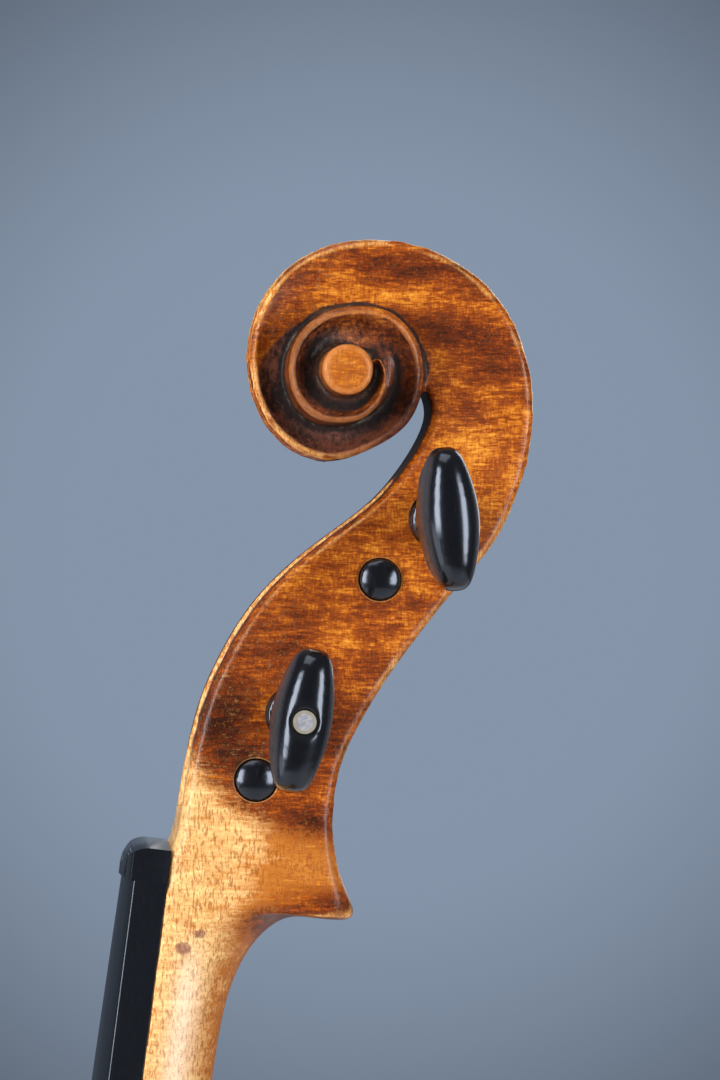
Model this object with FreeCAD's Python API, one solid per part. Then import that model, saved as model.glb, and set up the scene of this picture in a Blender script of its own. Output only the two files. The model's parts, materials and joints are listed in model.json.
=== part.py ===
import FreeCAD, Part
import math
import os

# A violin without its strings, upright, scroll at the top and belly to -Y.
# +X is the treble side. Work is laid out with z = 0 at the body's top edge,
# y = 0 at the belly's gluing plane, and moved to the hanger seat at the end.

Vector = FreeCAD.Vector

# Body outline
body_length = 355.0
upper_half_width = 84.0
waist_half_width = 55.5
lower_half_width = 104.0
rib_height = 30.0
rib_thickness = 1.0
overhang = 2.7

# Plates
plate_edge = 4.0
plate_thickness = 3.0
belly_rise = 11.5
back_rise = 11.0
fluting_width = 5.0
button_height = 13.0
button_width = 21.5
purfling_inset = 4.0
purfling_width = 1.3
purfling_depth = 1.5

# Sound holes
hole_upper_eye_radius = 3.2
hole_lower_eye_radius = 4.6
hole_reach = 58.5
hole_half_height = 40.5
hole_band = 6.3
bridge_line = 195.0

# Linings and blocks
lining_thickness = 2.0
lining_height = 7.0
neck_block_width = 56.0
neck_block_depth = 18.0
end_block_width = 46.0
end_block_depth = 16.0
corner_block_reach = 17.0

# Bass bar and sound post
bar_length = 270.0
bar_height = 11.0
bar_thickness = 5.5
bar_offset = 17.0
post_diameter = 6.2
post_offset = 20.0
post_behind_bridge = 6.0

# Neck
neck_length = 130.0
neck_tilt = 6.3
overstand = 5.7
neck_thickness = 12.0
heel_width = 21.5
root_depth = 6.0
root_flare = 0.3
planing = 0.15
head_length = 104.0

# Volute and pegbox
volute_radius = 31.0
eye_half_width = 20.6
eye_radius = 4.1
eye_crown = 0.5
pegbox_half_width = 13.0
rim_bevel = 1.2
flute_depth = 1.9
dish_depth = 3.0
turn_gap = 0.25
core_half_width = 4.0
core_radius = 13.0
hub_half_width = 9.2
hub_radius = 8.0
cheek_wall = 4.6
pegbox_floor = 6.3

# Fingerboard and nut
board_length = 270.0
board_width = 24.0
board_end_width = 42.5
board_side = 5.3
board_radius = 42.0
board_hollow_radius = 30.0
board_hollow_depth = 4.6
nut_length = 5.4
nut_proud = 0.5
nut_round = 4.3
string_spacing = 5.5
string_slot = 0.5

# Pegs
peg_end_diameter = 6.6
peg_taper = 1 / 30
peg_clearance = 0.04
peg_proud = 0.8
peg_dome = 0.5
collar_gap = 3.0
collar_diameter = 9.6
collar_thickness = 2.6
collar_groove = 0.8
stem_diameter = 7.2
stem_length = 6.0
thumb_length = 17.5
thumb_width = 22.5
thumb_thickness = 8.3
thumb_tip_thickness = 5.4
thumb_neck_width = 12.0
thumb_round = 2.0
string_hole = 1.6
pearl_diameter = 2.6
pearl_ring_diameter = 3.6
pearl_depth = 1.2

# End pin and saddle
end_pin_shank = 8.0
end_pin_length = 26.0
end_pin_head = 15.0
end_pin_head_length = 12.5
saddle_width = 35.0
saddle_depth = 7.0
saddle_height = 8.0
saddle_round = 3.0
saddle_end_height = 5.0
saddle_end_run = 5.0

# One overrun serves all cuts
overrun = 10.0
outline_step = 7.0
outline_match = 0.01
corner_angle = 20

tilt = math.radians(neck_tilt)
board_plane_start = plate_edge + overstand
nut_y = neck_length * math.sin(tilt) - board_plane_start
nut_z = neck_length * math.cos(tilt)

# Half outline, x as a share of a bout's half width, z as a share of the length.
lower_bout_shares = [
    (0, 0), (0.24, 0.0045), (0.48, 0.018), (0.69, 0.045), (0.856, 0.0845), (0.962, 0.135),
    (1, 0.197), (0.976, 0.259), (0.912, 0.307), (0.867, 0.335), (0.859, 0.352), (0.8875, 0.367)]
waist_lower_shares = [
    (1, 0.3848), (0.725, 0.3904), (0.429, 0.4017), (0.192, 0.4197), (0.053, 0.4451), (0, 0.4761)]
waist_upper_shares = [(0.078, 0.5099), (0.311, 0.538), (0.622, 0.5583), (1, 0.5707)]
upper_bout_shares = [
    (0.924, 0.5859), (0.888, 0.6), (0.877, 0.6197), (0.9, 0.6563), (0.945, 0.7042), (0.987, 0.7549),
    (1, 0.8085), (0.974, 0.862), (0.899, 0.907), (0.762, 0.9465), (0.56, 0.976), (0.298, 0.9944), (0, 1)]
lower_corner_share = 0.859
upper_corner_share = 0.89
lower_joint_share = 0.376
upper_joint_share = 0.578
upper_widest_share = 0.8085
waist_share = 0.4761
lower_widest_share = 0.197

# Spiral radius every 30 degrees, as a share of the volute's radius.
spiral_shares = [
    1.021, 0.932, 0.815, 0.713, 0.635, 0.555, 0.49, 0.466, 0.469, 0.464, 0.427, 0.432, 0.424, 0.418,
    0.394, 0.342, 0.318, 0.302, 0.294, 0.295, 0.295, 0.274, 0.26, 0.231, 0.206, 0.174, 0.135]
# Half width of the spiral's rim every 30 degrees, as a share of the eye's.
rim_shares = [
    0.379, 0.34, 0.306, 0.286, 0.282, 0.289, 0.306, 0.33, 0.359, 0.393, 0.437, 0.481, 0.524, 0.568,
    0.612, 0.65, 0.684, 0.718, 0.757, 0.791, 0.825, 0.854, 0.883, 0.913, 0.942, 0.966, 0.985]
# How far the terrace lies below its rim, every 90 degrees.
dish_shares = [0.27, 0.4, 0.6, 0.87, 0.97, 1, 1, 1, 0.87, 0.67]
spiral_step = 30
dish_step = 90

# Side view of the neck from the nut: depth behind the board's gluing plane and
# distance along it, both as shares of the head's length.
chin_shares = [
    ((0, -0.298), (0.1145, -0.31)), ((0, -0.205), (0.1173, -0.2135)), ((0, -0.142), (0.1255, -0.151)),
    ((0, -0.096), (0.1438, -0.0965)), ((0, -0.0635), (0.1698, -0.058)),
    ((0, -0.0365), (0.201, -0.0355)), ((0, -0.021), (0.2366, -0.0285)),
    ((0, -0.0096), (0.2697, -0.0275))]
pegbox_shares = [
    ((0, 0), (0.2898, -0.0202)), ((0, 0.0096), (0.2903, -0.002)), ((0, 0.022), (0.279, 0.0192)),
    ((0, 0.0404), (0.262, 0.0519)), ((0.006, 0.0712), (0.246, 0.1048)),
    ((0.0085, 0.11), (0.2405, 0.15)), ((0.01, 0.162), (0.2433, 0.207)), ((0.0145, 0.225), (0.2605, 0.269)),
    ((0.026, 0.298), (0.295, 0.348)), ((0.054, 0.382), (0.339, 0.4275)),
    ((0.0925, 0.457), (0.386, 0.5035)), ((0.149, 0.528), (0.4267, 0.564)),
    ((0.2154, 0.593), (0.455, 0.6245)), ((0.275, 0.665), (0.4717, 0.691)),
    ((0.3154, 0.7596), (0.4764, 0.7221))]
eye_centre_shares = (0.1692, 0.8173)

# Half widths at the pegbox stations, from the chin's lip to the throat, as
# shares of the pegbox's half width, at the front and at the back.
pegbox_width_shares = [
    (0.925, 0.97), (0.93, 0.98), (0.935, 0.99), (0.945, 1), (0.95, 1), (0.95, 0.985), (0.94, 0.955),
    (0.925, 0.92), (0.88, 0.875), (0.84, 0.82), (0.8, 0.775), (0.75, 0.735), (0.71, 0.7), (0.67, 0.665),
    (0.64, 0.645)]
pegbox_corner_shares = [
    0.34, 0.24, 0.17, 0.13, 0.11, 0.1, 0.095, 0.093, 0.093, 0.093, 0.093, 0.093, 0.093, 0.093, 0.093]
pegbox_flute_shares = [
    -0.25, -0.15, 0, 0.15, 0.35, 0.45, 0.5, 0.52, 0.55, 0.6, 0.65, 0.7, 0.78, 0.85, 0.9]
cavity_start = 5
volute_flute_shares = [1, 1, 1, 0.95, 0.9, 0.85, 0.75, 0.65, 0.5, 0.35, 0.2, 0]

# Heel stations: the front point's height and the back point's depth and height,
# as shares of the rib's height, how far down the sides run straight, and how far
# the back has widened from the heel's width to the board's.
heel_shares = [
    (0, 1, 0, 0.97, 0), (0.13, 1, 0.13, 0.94, 0), (0.3, 1, 0.29, 0.8, 0.04),
    (0.47, 0.98, 0.415, 0.55, 0.2), (0.68, 0.74, 0.52, 0.3, 0.6), (0.95, 0.5, 0.68, 0.15, 0.9),
    (1.27, 0.32, 0.98, 0.1, 1)]
shaft_shares = [(0.6, 1.08), (0.45, 1.03)]

# Peg axes in the side view, and which way each head points.
peg_places = {
    "peg_g": ((0.1154, 0.176), -1, 16.0), "peg_d": ((0.2673, 0.5067), -1, 25.0),
    "peg_e": ((0.1596, 0.2846), 1, 9.5), "peg_a": ((0.3413, 0.6096), 1, -6.0)}


# Shared helpers
def neck_point(depth, along, side=0.0):
    y = nut_y + depth * math.cos(tilt) + along * math.sin(tilt)
    z = nut_z - depth * math.sin(tilt) + along * math.cos(tilt)
    return Vector(side, y, z)


def head_point(shares, side=0.0):
    return neck_point(shares[0] * head_length, shares[1] * head_length, side)


# Front points on the board's plane start proud of it, and are planed off later
def proud_point(shares):
    allowance = planing if shares[0] == 0 else 0
    return neck_point(shares[0] * head_length - allowance, shares[1] * head_length)


def spline(points):
    curve = Part.BSplineCurve()
    curve.interpolate(Points=points)
    return curve.toShape()


def line(start, end):
    return Part.makeLine(start, end)


def between(values, step, angle):
    place = min(angle / step, len(values) - 1)
    low = min(int(place), len(values) - 2)
    part = place - low
    return values[low] * (1 - part) + values[low + 1] * part


def box(x0, x1, y0, y1, z0, z1):
    return Part.makeBox(x1 - x0, y1 - y0, z1 - z0, Vector(x0, y0, z0))


def mirrored(shape):
    return shape.mirror(Vector(0, 0, 0), Vector(1, 0, 0))


# The treble half of a body piece and its mirror image
def both_halves(shape):
    reach = lower_half_width + overrun
    half = shape.common(box(
        0, reach, -overrun, rib_height + overrun, -body_length - overrun, overrun))
    return half.fuse(mirrored(half))


def body_height(z_share):
    return (z_share - 1) * body_length


# Outline of the plates
def outline_face():
    def place(x, z_share):
        return Vector(x, 0, body_height(z_share))

    lower_corner = lower_corner_share * lower_half_width
    upper_corner = upper_corner_share * upper_half_width
    lower = [place(x * lower_half_width, z) for x, z in lower_bout_shares]
    upper = [place(x * upper_half_width, z) for x, z in upper_bout_shares]
    waist = [place(waist_half_width + x * (lower_corner - waist_half_width), z)
             for x, z in waist_lower_shares]
    waist += [place(waist_half_width + x * (upper_corner - waist_half_width), z)
              for x, z in waist_upper_shares]
    side = [line(lower[-1], waist[0]), spline(waist), line(waist[-1], upper[0])]
    edges = side + [mirrored(edge) for edge in side]
    for bout in (lower, upper[::-1]):
        across = [Vector(-point.x, 0, point.z) for point in reversed(bout[1:])]
        edges.append(spline(across + bout))
    return Part.Face(Part.Wire(Part.__sortEdges__(edges)))


# The same outline drawn in by some distance, as few smooth runs between corners
def inset_outline(outline, inset):
    runs = []
    for edge in Part.__sortEdges__(outline.makeOffset2D(-inset).OuterWire.Edges):
        points = edge.discretize(max(3, int(edge.Length / outline_step) + 1))
        if runs and (points[0] - runs[-1][-1]).Length > (points[-1] - runs[-1][-1]).Length:
            points.reverse()
        if not runs and edge.Orientation == "Reversed":
            points.reverse()
        runs.append(points)
    first, second = runs[0], runs[1]
    if min((first[0] - p).Length for p in (second[0], second[-1])) < outline_match:
        first.reverse()
        for index in range(1, len(runs)):
            if (runs[index][0] - runs[index - 1][-1]).Length > outline_match:
                runs[index].reverse()
    turns = []
    for index, points in enumerate(runs):
        before = runs[index - 1]
        coming = before[-1] - before[-2]
        leaving = points[1] - points[0]
        turns.append(math.degrees(coming.getAngle(leaving)) > corner_angle)
    start = turns.index(True)
    chains = []
    for index in range(start, start + len(runs)):
        points = runs[index % len(runs)]
        if turns[index % len(runs)]:
            chains.append(list(points))
        else:
            chains[-1] += points[1:]
    edges = []
    for points in chains:
        kept = [points[0]]
        for point in points[1:-1]:
            far = (point - kept[-1]).Length >= outline_step * 0.8
            if far and (point - points[-1]).Length >= outline_step * 0.5:
                kept.append(point)
        edges.append(spline(kept + [points[-1]]))
    return Part.Face(Part.Wire(edges))


def prism(face, y0, y1):
    solid = face.extrude(Vector(0, y1 - y0, 0))
    solid.translate(Vector(0, y0, 0))
    return solid


# Height of the arch above the plate's edge, at a place on the plate
def bout_half_width(z):
    height = z / body_length + 1
    if height >= upper_widest_share:
        reach = (height - upper_widest_share) / (1 - upper_widest_share)
        return upper_half_width * math.sqrt(max(0, 1 - reach ** 2))
    if height <= lower_widest_share:
        reach = (lower_widest_share - height) / lower_widest_share
        return lower_half_width * math.sqrt(max(0, 1 - reach ** 2))
    if height >= waist_share:
        blend = (height - waist_share) / (upper_widest_share - waist_share)
        wide = upper_half_width
    else:
        blend = (waist_share - height) / (waist_share - lower_widest_share)
        wide = lower_half_width
    ease = (1 - math.cos(math.pi * blend)) / 2
    return waist_half_width + (wide - waist_half_width) * ease


def arch_height(x, z, rise):
    inset = purfling_inset + fluting_width
    length = body_length - 2 * inset
    place = -(z + inset) / length
    half_width = bout_half_width(z) - inset
    if place <= 0 or place >= 1 or half_width <= 0:
        return 0
    across = min(abs(x) / half_width, 1)
    along = 1 - abs(2 * place - 1) ** 3
    return rise * along * math.cos(math.pi / 2 * across ** 1.15) ** 2


def arch_solid(rise, base):
    columns = 36
    rows = 56
    reach_x = lower_half_width + overrun
    reach_z = body_length + 2 * overrun
    grid = []
    for row in range(rows + 1):
        z = overrun - reach_z * row / rows
        points = []
        for column in range(columns + 1):
            x = reach_x * (2 * column / columns - 1)
            points.append(Vector(x, -base - arch_height(x, z, rise), z))
        grid.append(points)
    surface = Part.BSplineSurface()
    surface.interpolate(grid)
    return surface.toShape().extrude(Vector(0, base + rise + overrun, 0))


def plate(outline, inner, rise):
    outer = prism(outline, -rise - plate_edge - overrun, 0).common(arch_solid(rise, plate_edge))
    hollow = prism(inner, -rise - plate_edge, overrun / 2)
    hollow = hollow.common(arch_solid(rise, plate_edge - plate_thickness))
    return outer.cut(hollow)


# Sound hole on the treble side, about a centre on the bridge line
def sound_hole():
    centre_shares = [
        (0.419, 0.9), (0.47, 0.975), (0.53, 1), (0.598, 0.938), (0.641, 0.79), (0.658, 0.494),
        (0.675, 0.198), (0.701, 0), (0.726, -0.198), (0.752, -0.494), (0.778, -0.741),
        (0.821, -0.926), (0.889, -1), (0.966, -0.951), (1, -0.864)]
    width_shares = [0.3, 0.3, 0.33, 0.48, 0.7, 0.9, 1, 1, 1, 0.95, 0.8, 0.6, 0.42, 0.36, 0.36]
    centre = [Vector(x * hole_reach, 0, z * hole_half_height) for x, z in centre_shares]
    left = []
    right = []
    for index, place in enumerate(centre):
        before = centre[max(index - 1, 0)]
        after = centre[min(index + 1, len(centre) - 1)]
        way = (after - before).normalize()
        across = Vector(-way.z, 0, way.x) * (width_shares[index] * hole_band / 2)
        left.append(place + across)
        right.append(place - across)
    edges = [spline(left), line(left[-1], right[-1]), spline(right), line(right[0], left[0])]
    band = Part.Face(Part.Wire(Part.__sortEdges__(edges)))
    reach = 2 * (belly_rise + plate_edge)
    hole = band.extrude(Vector(0, reach, 0))
    upper_eye = Vector(0.415 * hole_reach, 0, 0.815 * hole_half_height)
    lower_eye = Vector(0.974 * hole_reach, 0, -0.765 * hole_half_height)
    way = Vector(0, 1, 0)
    hole = hole.fuse(Part.makeCylinder(hole_upper_eye_radius, reach, upper_eye, way))
    hole = hole.fuse(Part.makeCylinder(hole_lower_eye_radius, reach, lower_eye, way))
    hole.translate(Vector(0, -reach + overrun / 2, -bridge_line))
    return hole


# Cross sections of the neck and head, each a ring of runs of points from a
# front point to a back point
run_shares = {2: [0, 1], 3: [0, 0.5, 1], 5: [0, 0.25, 0.5, 0.8, 1]}
hollow_shares = [0, 0.22, 0.35, 0.22, 0]
shaft_side_share = 0.1
front_round_share = 0.02


def section(front, back, side):
    depth = (back - front).Length
    way = (back - front).normalize()

    def place(down, across):
        return front + way * (down * depth) + Vector(across, 0, 0)

    runs = [[place(down, across) for down, across in run] for run in side]
    for run in reversed(side):
        runs.append([place(down, -across) for down, across in reversed(run)])
    runs.append([runs[-1][-1], runs[0][0]])
    return runs


def through(points, steps):
    curve = Part.BSplineCurve()
    curve.interpolate(Points=points, Parameters=steps)
    return curve


# A solid whose faces run lengthwise through all the sections
def skinned(sections):
    places = [0.0]
    for before, after in zip(sections, sections[1:]):
        gaps = [(q - p).Length for run, other in zip(before, after) for p, q in zip(run, other)]
        places.append(places[-1] + math.sqrt(sum(gaps) / len(gaps)))
    steps = [place / places[-1] for place in places]
    faces = []
    ends = ([], [])
    for index in range(len(sections[0])):
        curves = []
        for runs in sections:
            curves.append(through(runs[index], run_shares[len(runs[index])]))
        rails = []
        for pole in range(1, curves[0].NbPoles + 1):
            rails.append(through([curve.getPole(pole) for curve in curves], steps))
        surface = Part.BSplineSurface()
        surface.buildFromPolesMultsKnots(
            [rail.getPoles() for rail in rails],
            curves[0].getMultiplicities(), rails[0].getMultiplicities(),
            curves[0].getKnots(), rails[0].getKnots(), False, False,
            curves[0].Degree, rails[0].Degree)
        faces.append(surface.toShape())
        ends[0].append(curves[0].toShape())
        ends[1].append(curves[-1].toShape())
    for edges in ends:
        faces.append(Part.Face(Part.Wire(edges)))
    shell = Part.makeShell(faces)
    shell.sewShape()
    solid = Part.makeSolid(shell)
    if solid.Volume < 0:
        solid.reverse()
    return solid


def straight_run(start, end, hollow, count):
    run = []
    for share, dip in zip(run_shares[count], hollow_shares if count == 5 else (0, 0, 0)):
        down = start[0] + (end[0] - start[0]) * share
        across = start[1] + (end[1] - start[1]) * share
        run.append((down, across - dip * hollow))
    return run


def boxed_side(depth, front_width, back_width, bevel, corner, flute, dish, roundness):
    down = bevel / depth
    up = 1 - corner / depth
    middle = roundness * corner
    flank = back_width - corner
    return [
        straight_run((0, front_width - bevel), (down, front_width), 0, 3),
        straight_run((down, front_width), (up, back_width), dish, 5),
        [(up, back_width), (1 - (corner - middle) / depth, flank + middle), (1, flank)],
        [(1, flank), (1 - flute / depth, flank / 2), (1, 0)]]


# Straight sides to some share of the depth, then a rounded back
def rounded_side(width, straight, back_width):
    def turn(degrees):
        angle = math.radians(degrees)
        return (straight + (1 - straight) * math.sin(angle), back_width * math.cos(angle))

    flat = front_round_share
    return [
        straight_run((0, width * (1 - flat)), (flat, width), 0, 3),
        straight_run((flat, width), (straight, back_width), 0, 5),
        [turn(0), turn(25), turn(50)],
        [turn(50), turn(70), (1, 0)]]


def board_half_width(along):
    share = -along / board_length
    return (board_width + (board_end_width - board_width) * share) / 2


def plane_front(z):
    return Vector(0, z * math.tan(tilt) - board_plane_start, z)


# Neck: heel, shaft, chin, pegbox and volute as one carved run of sections
def heel_sections():
    wires = []
    for front_share, deep_share, up_share, straight, widening in heel_shares:
        front = plane_front(front_share * rib_height) - Vector(0, planing, 0)
        back = Vector(0, deep_share * rib_height, up_share * rib_height)
        width = board_half_width(front.z / math.cos(tilt) - neck_length)
        back_width = heel_width / 2 * (1 - widening) + width * widening
        wires.append(section(front, back, rounded_side(width, straight, back_width)))
    return wires


def shaft_sections():
    wires = []
    for along_share, thick_share in shaft_shares:
        along = -along_share * neck_length
        front = neck_point(-planing, along)
        back = neck_point(thick_share * neck_thickness, along)
        width = board_half_width(along)
        wires.append(section(front, back, rounded_side(width, shaft_side_share, width)))
    for index, (front_shares, back_shares) in enumerate(chin_shares):
        blend = index / len(chin_shares)
        width = board_half_width(front_shares[1] * head_length)
        side = rounded_side(width, shaft_side_share + 0.8 * blend ** 2, width)
        wires.append(section(proud_point(front_shares), head_point(back_shares), side))
    return wires


def pegbox_sections():
    wires = []
    for index, (front_shares, back_shares) in enumerate(pegbox_shares):
        front = proud_point(front_shares)
        back = head_point(back_shares)
        front_share, back_share = pegbox_width_shares[index]
        corner_share = pegbox_corner_shares[index]
        side = boxed_side(
            (back - front).Length, front_share * pegbox_half_width, back_share * pegbox_half_width,
            rim_bevel, corner_share * pegbox_half_width, pegbox_flute_shares[index] * flute_depth,
            0, 0.5 + corner_share / 2)
        wires.append(section(front, back, side))
    return wires


def spiral_section(angle):
    turned = math.radians(angle) - tilt
    way = Vector(0, math.cos(turned), math.sin(turned))
    outer = between(spiral_shares, spiral_step, angle) * volute_radius
    inner = eye_radius + turn_gap
    if angle + 360 <= spiral_step * (len(spiral_shares) - 1):
        inner = between(spiral_shares, spiral_step, angle + 360) * volute_radius + turn_gap
    rim = between(rim_shares, spiral_step, angle) * eye_half_width
    dish = between(dish_shares, dish_step, angle) * dish_depth
    flute = between(volute_flute_shares, spiral_step, angle) * flute_depth
    bevel = min(rim_bevel, (outer - inner) / 5)
    side = boxed_side(outer - inner, rim - dish, rim, bevel / 2, bevel, flute, dish, 0.5)
    centre = head_point(eye_centre_shares)
    return section(centre + way * inner, centre + way * outer, side)


# Discs about the eye's axis: the core joins the turns, the hub the inner ones
def eye_disc(radius, half_width):
    start = head_point(eye_centre_shares) - Vector(half_width, 0, 0)
    return Part.makeCylinder(radius, 2 * half_width, start, Vector(1, 0, 0))


def circle_edges(shape):
    return [edge for edge in shape.Edges if edge.Curve.TypeId == "Part::GeomCircle"]


def volute_core():
    eye = eye_disc(eye_radius, eye_half_width)
    eye = eye.makeFillet(eye_crown, circle_edges(eye))
    return eye.fuse(eye_disc(core_radius, core_half_width)).fuse(eye_disc(hub_radius, hub_half_width))


def pegbox_cavity():
    wires = []
    for index in range(cavity_start, len(pegbox_shares) - 1):
        front = head_point(pegbox_shares[index][0])
        back = head_point(pegbox_shares[index][1])
        depth = (back - front).Length
        way = (back - front).normalize()
        half = min(pegbox_width_shares[index]) * pegbox_half_width - cheek_wall
        low = Vector(half * 0.85, 0, 0)
        high = Vector(half, 0, 0)
        top = front - way * overrun / 2
        floor = front + way * (depth - pegbox_floor)
        corners = [top + high, floor + low, floor - low, top - high]
        wires.append(Part.makePolygon(corners + corners[:1]))
    return Part.makeLoft(wires, True, False)


# Root let into the neck block, up to the body's edge
def neck_root():
    half_front = board_half_width(-neck_length) + root_flare / 2
    half_back = heel_width / 2
    low = plane_front(-root_depth)
    corners = [Vector(-half_front, low.y, low.z), Vector(half_front, low.y, low.z),
               Vector(half_back, rib_height, low.z), Vector(-half_back, rib_height, low.z)]
    face = Part.Face(Part.makePolygon(corners + corners[:1]))
    rise = Vector(0, root_depth * math.tan(tilt), root_depth)
    return face.extrude(rise).common(box(-half_front, half_front, low.y, rib_height, -root_depth, 0))


# What is planed off for the board and the nut, and off the heel for the button
def planed_off():
    corners = [
        neck_point(0, -neck_length - 2 * root_depth), neck_point(0, nut_length + overrun),
        neck_point(-overrun, nut_length + overrun), neck_point(-overrun, -neck_length - 2 * root_depth)]
    front = Part.Face(Part.makePolygon(corners + corners[:1])).extrude(Vector(2 * board_width, 0, 0))
    front.translate(Vector(-board_width, 0, 0))
    behind = box(-board_width, board_width, rib_height, rib_height + overrun,
                 -root_depth - overrun, button_height)
    return [front, behind]


def peg_axis(name):
    shares, direction, lean = peg_places[name]
    return head_point(shares), direction, lean


def half_width_at(name):
    centre = peg_axis(name)[0]
    best = None
    for index, (front_shares, back_shares) in enumerate(pegbox_shares):
        middle = (head_point(front_shares) + head_point(back_shares)) * 0.5
        gap = (middle - centre).Length
        if best is None or gap < best[0]:
            best = (gap, max(pegbox_width_shares[index]) * pegbox_half_width)
    return best[1]


def peg_cone(name, extra):
    half = half_width_at(name)
    start = -half - peg_proud
    end = half + collar_gap
    small = peg_end_diameter / 2 + extra
    large = small + (end - start) * peg_taper / 2
    cone = Part.makeCone(small, large, end - start, Vector(start, 0, 0), Vector(1, 0, 0))
    return cone, start, end, small, large


def place_peg(shape, name):
    centre, direction, lean = peg_axis(name)
    shape.rotate(Vector(0, 0, 0), Vector(1, 0, 0), -lean * direction)
    if direction < 0:
        shape.rotate(Vector(0, 0, 0), Vector(0, 0, 1), 180)
    shape.translate(centre)
    return shape


def neck():
    wires = heel_sections() + shaft_sections() + pegbox_sections()
    last = spiral_step * (len(spiral_shares) - 2)
    wires += [spiral_section(angle) for angle in range(0, last + 1, spiral_step)]
    carved = skinned(wires)
    holes = [place_peg(peg_cone(name, peg_clearance)[0], name) for name in peg_places]
    whole = carved.fuse([neck_root(), volute_core()])
    return whole.cut([pegbox_cavity()] + planed_off() + holes)


# Pegs: a tapered shaft, a turned collar and stem, and a flat thumb piece
def peg(name):
    cone, start, end, small, large = peg_cone(name, 0)
    way = Vector(1, 0, 0)
    dome = Part.makeSphere((small ** 2 + peg_dome ** 2) / (2 * peg_dome))
    dome.translate(Vector(start - peg_dome + (small ** 2 + peg_dome ** 2) / (2 * peg_dome), 0, 0))
    cap = Part.makeCylinder(small, peg_dome, Vector(start - peg_dome, 0, 0), way).common(dome)
    collar = Part.makeCylinder(collar_diameter / 2, collar_thickness, Vector(end, 0, 0), way)
    collar = collar.makeFillet(collar_thickness / 3, circle_edges(collar))
    ring = Part.makeCylinder(
        stem_diameter / 2 + collar_groove, collar_thickness / 2,
        Vector(end + collar_thickness, 0, 0), way)
    stem_start = end + collar_thickness
    stem = Part.makeCone(
        stem_diameter / 2, stem_diameter / 2.4, stem_length, Vector(stem_start, 0, 0), way)
    head = thumb_piece(name)
    whole = cone.fuse(cap).fuse(collar).fuse(ring).fuse(stem).fuse(head)
    hole = Part.makeCylinder(
        string_hole / 2, 2 * large, Vector(-half_width_at(name) / 4, 0, -large), Vector(0, 0, 1))
    whole = whole.cut(hole)
    if name == "peg_e":
        whole = whole.cut(pearl_disc(name, pearl_ring_diameter))
    return place_peg(whole, name)


# Thumb piece: an outline seen on its flat face, thicker at mid height, with its rim
# rounded all the way along
def thumb_piece(name):
    start = peg_cone(name, 0)[2] + collar_thickness + stem_length
    half_neck = thumb_neck_width / 2
    half = thumb_width / 2
    end = start + thumb_length
    back = start - 0.12 * thumb_length
    top = [
        Vector(back, 0, 0.4 * half_neck), Vector(start + 0.1 * thumb_length, 0, half_neck),
        Vector(start + 0.4 * thumb_length, 0, 0.93 * half),
        Vector(start + 0.66 * thumb_length, 0, half),
        Vector(start + 0.88 * thumb_length, 0, 0.9 * half),
        Vector(end - 0.03 * thumb_length, 0, 0.5 * half), Vector(end, 0, 0)]
    low = [Vector(p.x, 0, -p.z) for p in reversed(top)]
    edges = [spline(top + low[1:]), line(low[-1], top[0])]
    solid = Part.Face(Part.Wire(edges)).extrude(Vector(0, thumb_thickness, 0))
    solid.translate(Vector(0, -thumb_thickness / 2, 0))
    bulge = thumb_thickness / 2
    sag = bulge - thumb_tip_thickness / 2
    radius = (half ** 2 + sag ** 2) / (2 * sag)
    for side in (-1, 1):
        centre = Vector(back - overrun, side * (radius - bulge), 0)
        solid = solid.common(Part.makeCylinder(
            radius, thumb_length + 3 * overrun, centre, Vector(1, 0, 0)))
    rim = [edge for edge in solid.Edges if edge.Length > thumb_width]
    return solid.makeFillet(thumb_round, rim)


def pearl_disc(name, diameter):
    head = thumb_piece(name)
    start = Vector(head.BoundBox.XMax - pearl_depth, 0, 0)
    return head.common(Part.makeCylinder(diameter / 2, 2 * pearl_depth, start, Vector(1, 0, 0)))


def pearl(name):
    return place_peg(pearl_disc(name, pearl_diameter), name)


def pearl_ring(name):
    ring = pearl_disc(name, pearl_ring_diameter).cut(pearl_disc(name, pearl_diameter))
    return place_peg(ring, name)


# Fingerboard and nut
def crown_section(along, half, side, radius):
    sag = radius - math.sqrt(radius ** 2 - half ** 2)
    low_right = neck_point(0, along, half)
    top_right = neck_point(-side, along, half)
    crown = neck_point(-side - sag, along)
    top_left = neck_point(-side, along, -half)
    low_left = neck_point(0, along, -half)
    return Part.Wire([
        line(low_right, top_right), Part.Arc(top_right, crown, top_left).toShape(),
        line(top_left, low_left), line(low_left, low_right)])


def fingerboard():
    blank = Part.makeLoft([
        crown_section(0, board_half_width(0), board_side, board_radius),
        crown_section(-board_length, board_half_width(-board_length), board_side, board_radius)],
        True, True)
    depth = board_hollow_depth
    radius = board_hollow_radius
    hollows = []
    for along, share in ((-neck_length - 2 * overrun, 0.3), (-board_length - overrun, 1)):
        half = math.sqrt(radius ** 2 - (radius - depth * share) ** 2)
        right = neck_point(0, along, half)
        top = neck_point(-depth * share, along)
        left = neck_point(0, along, -half)
        hollows.append(Part.Wire([Part.Arc(right, top, left).toShape(), line(left, right)]))
    return blank.cut(Part.makeLoft(hollows, True, True))


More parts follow.
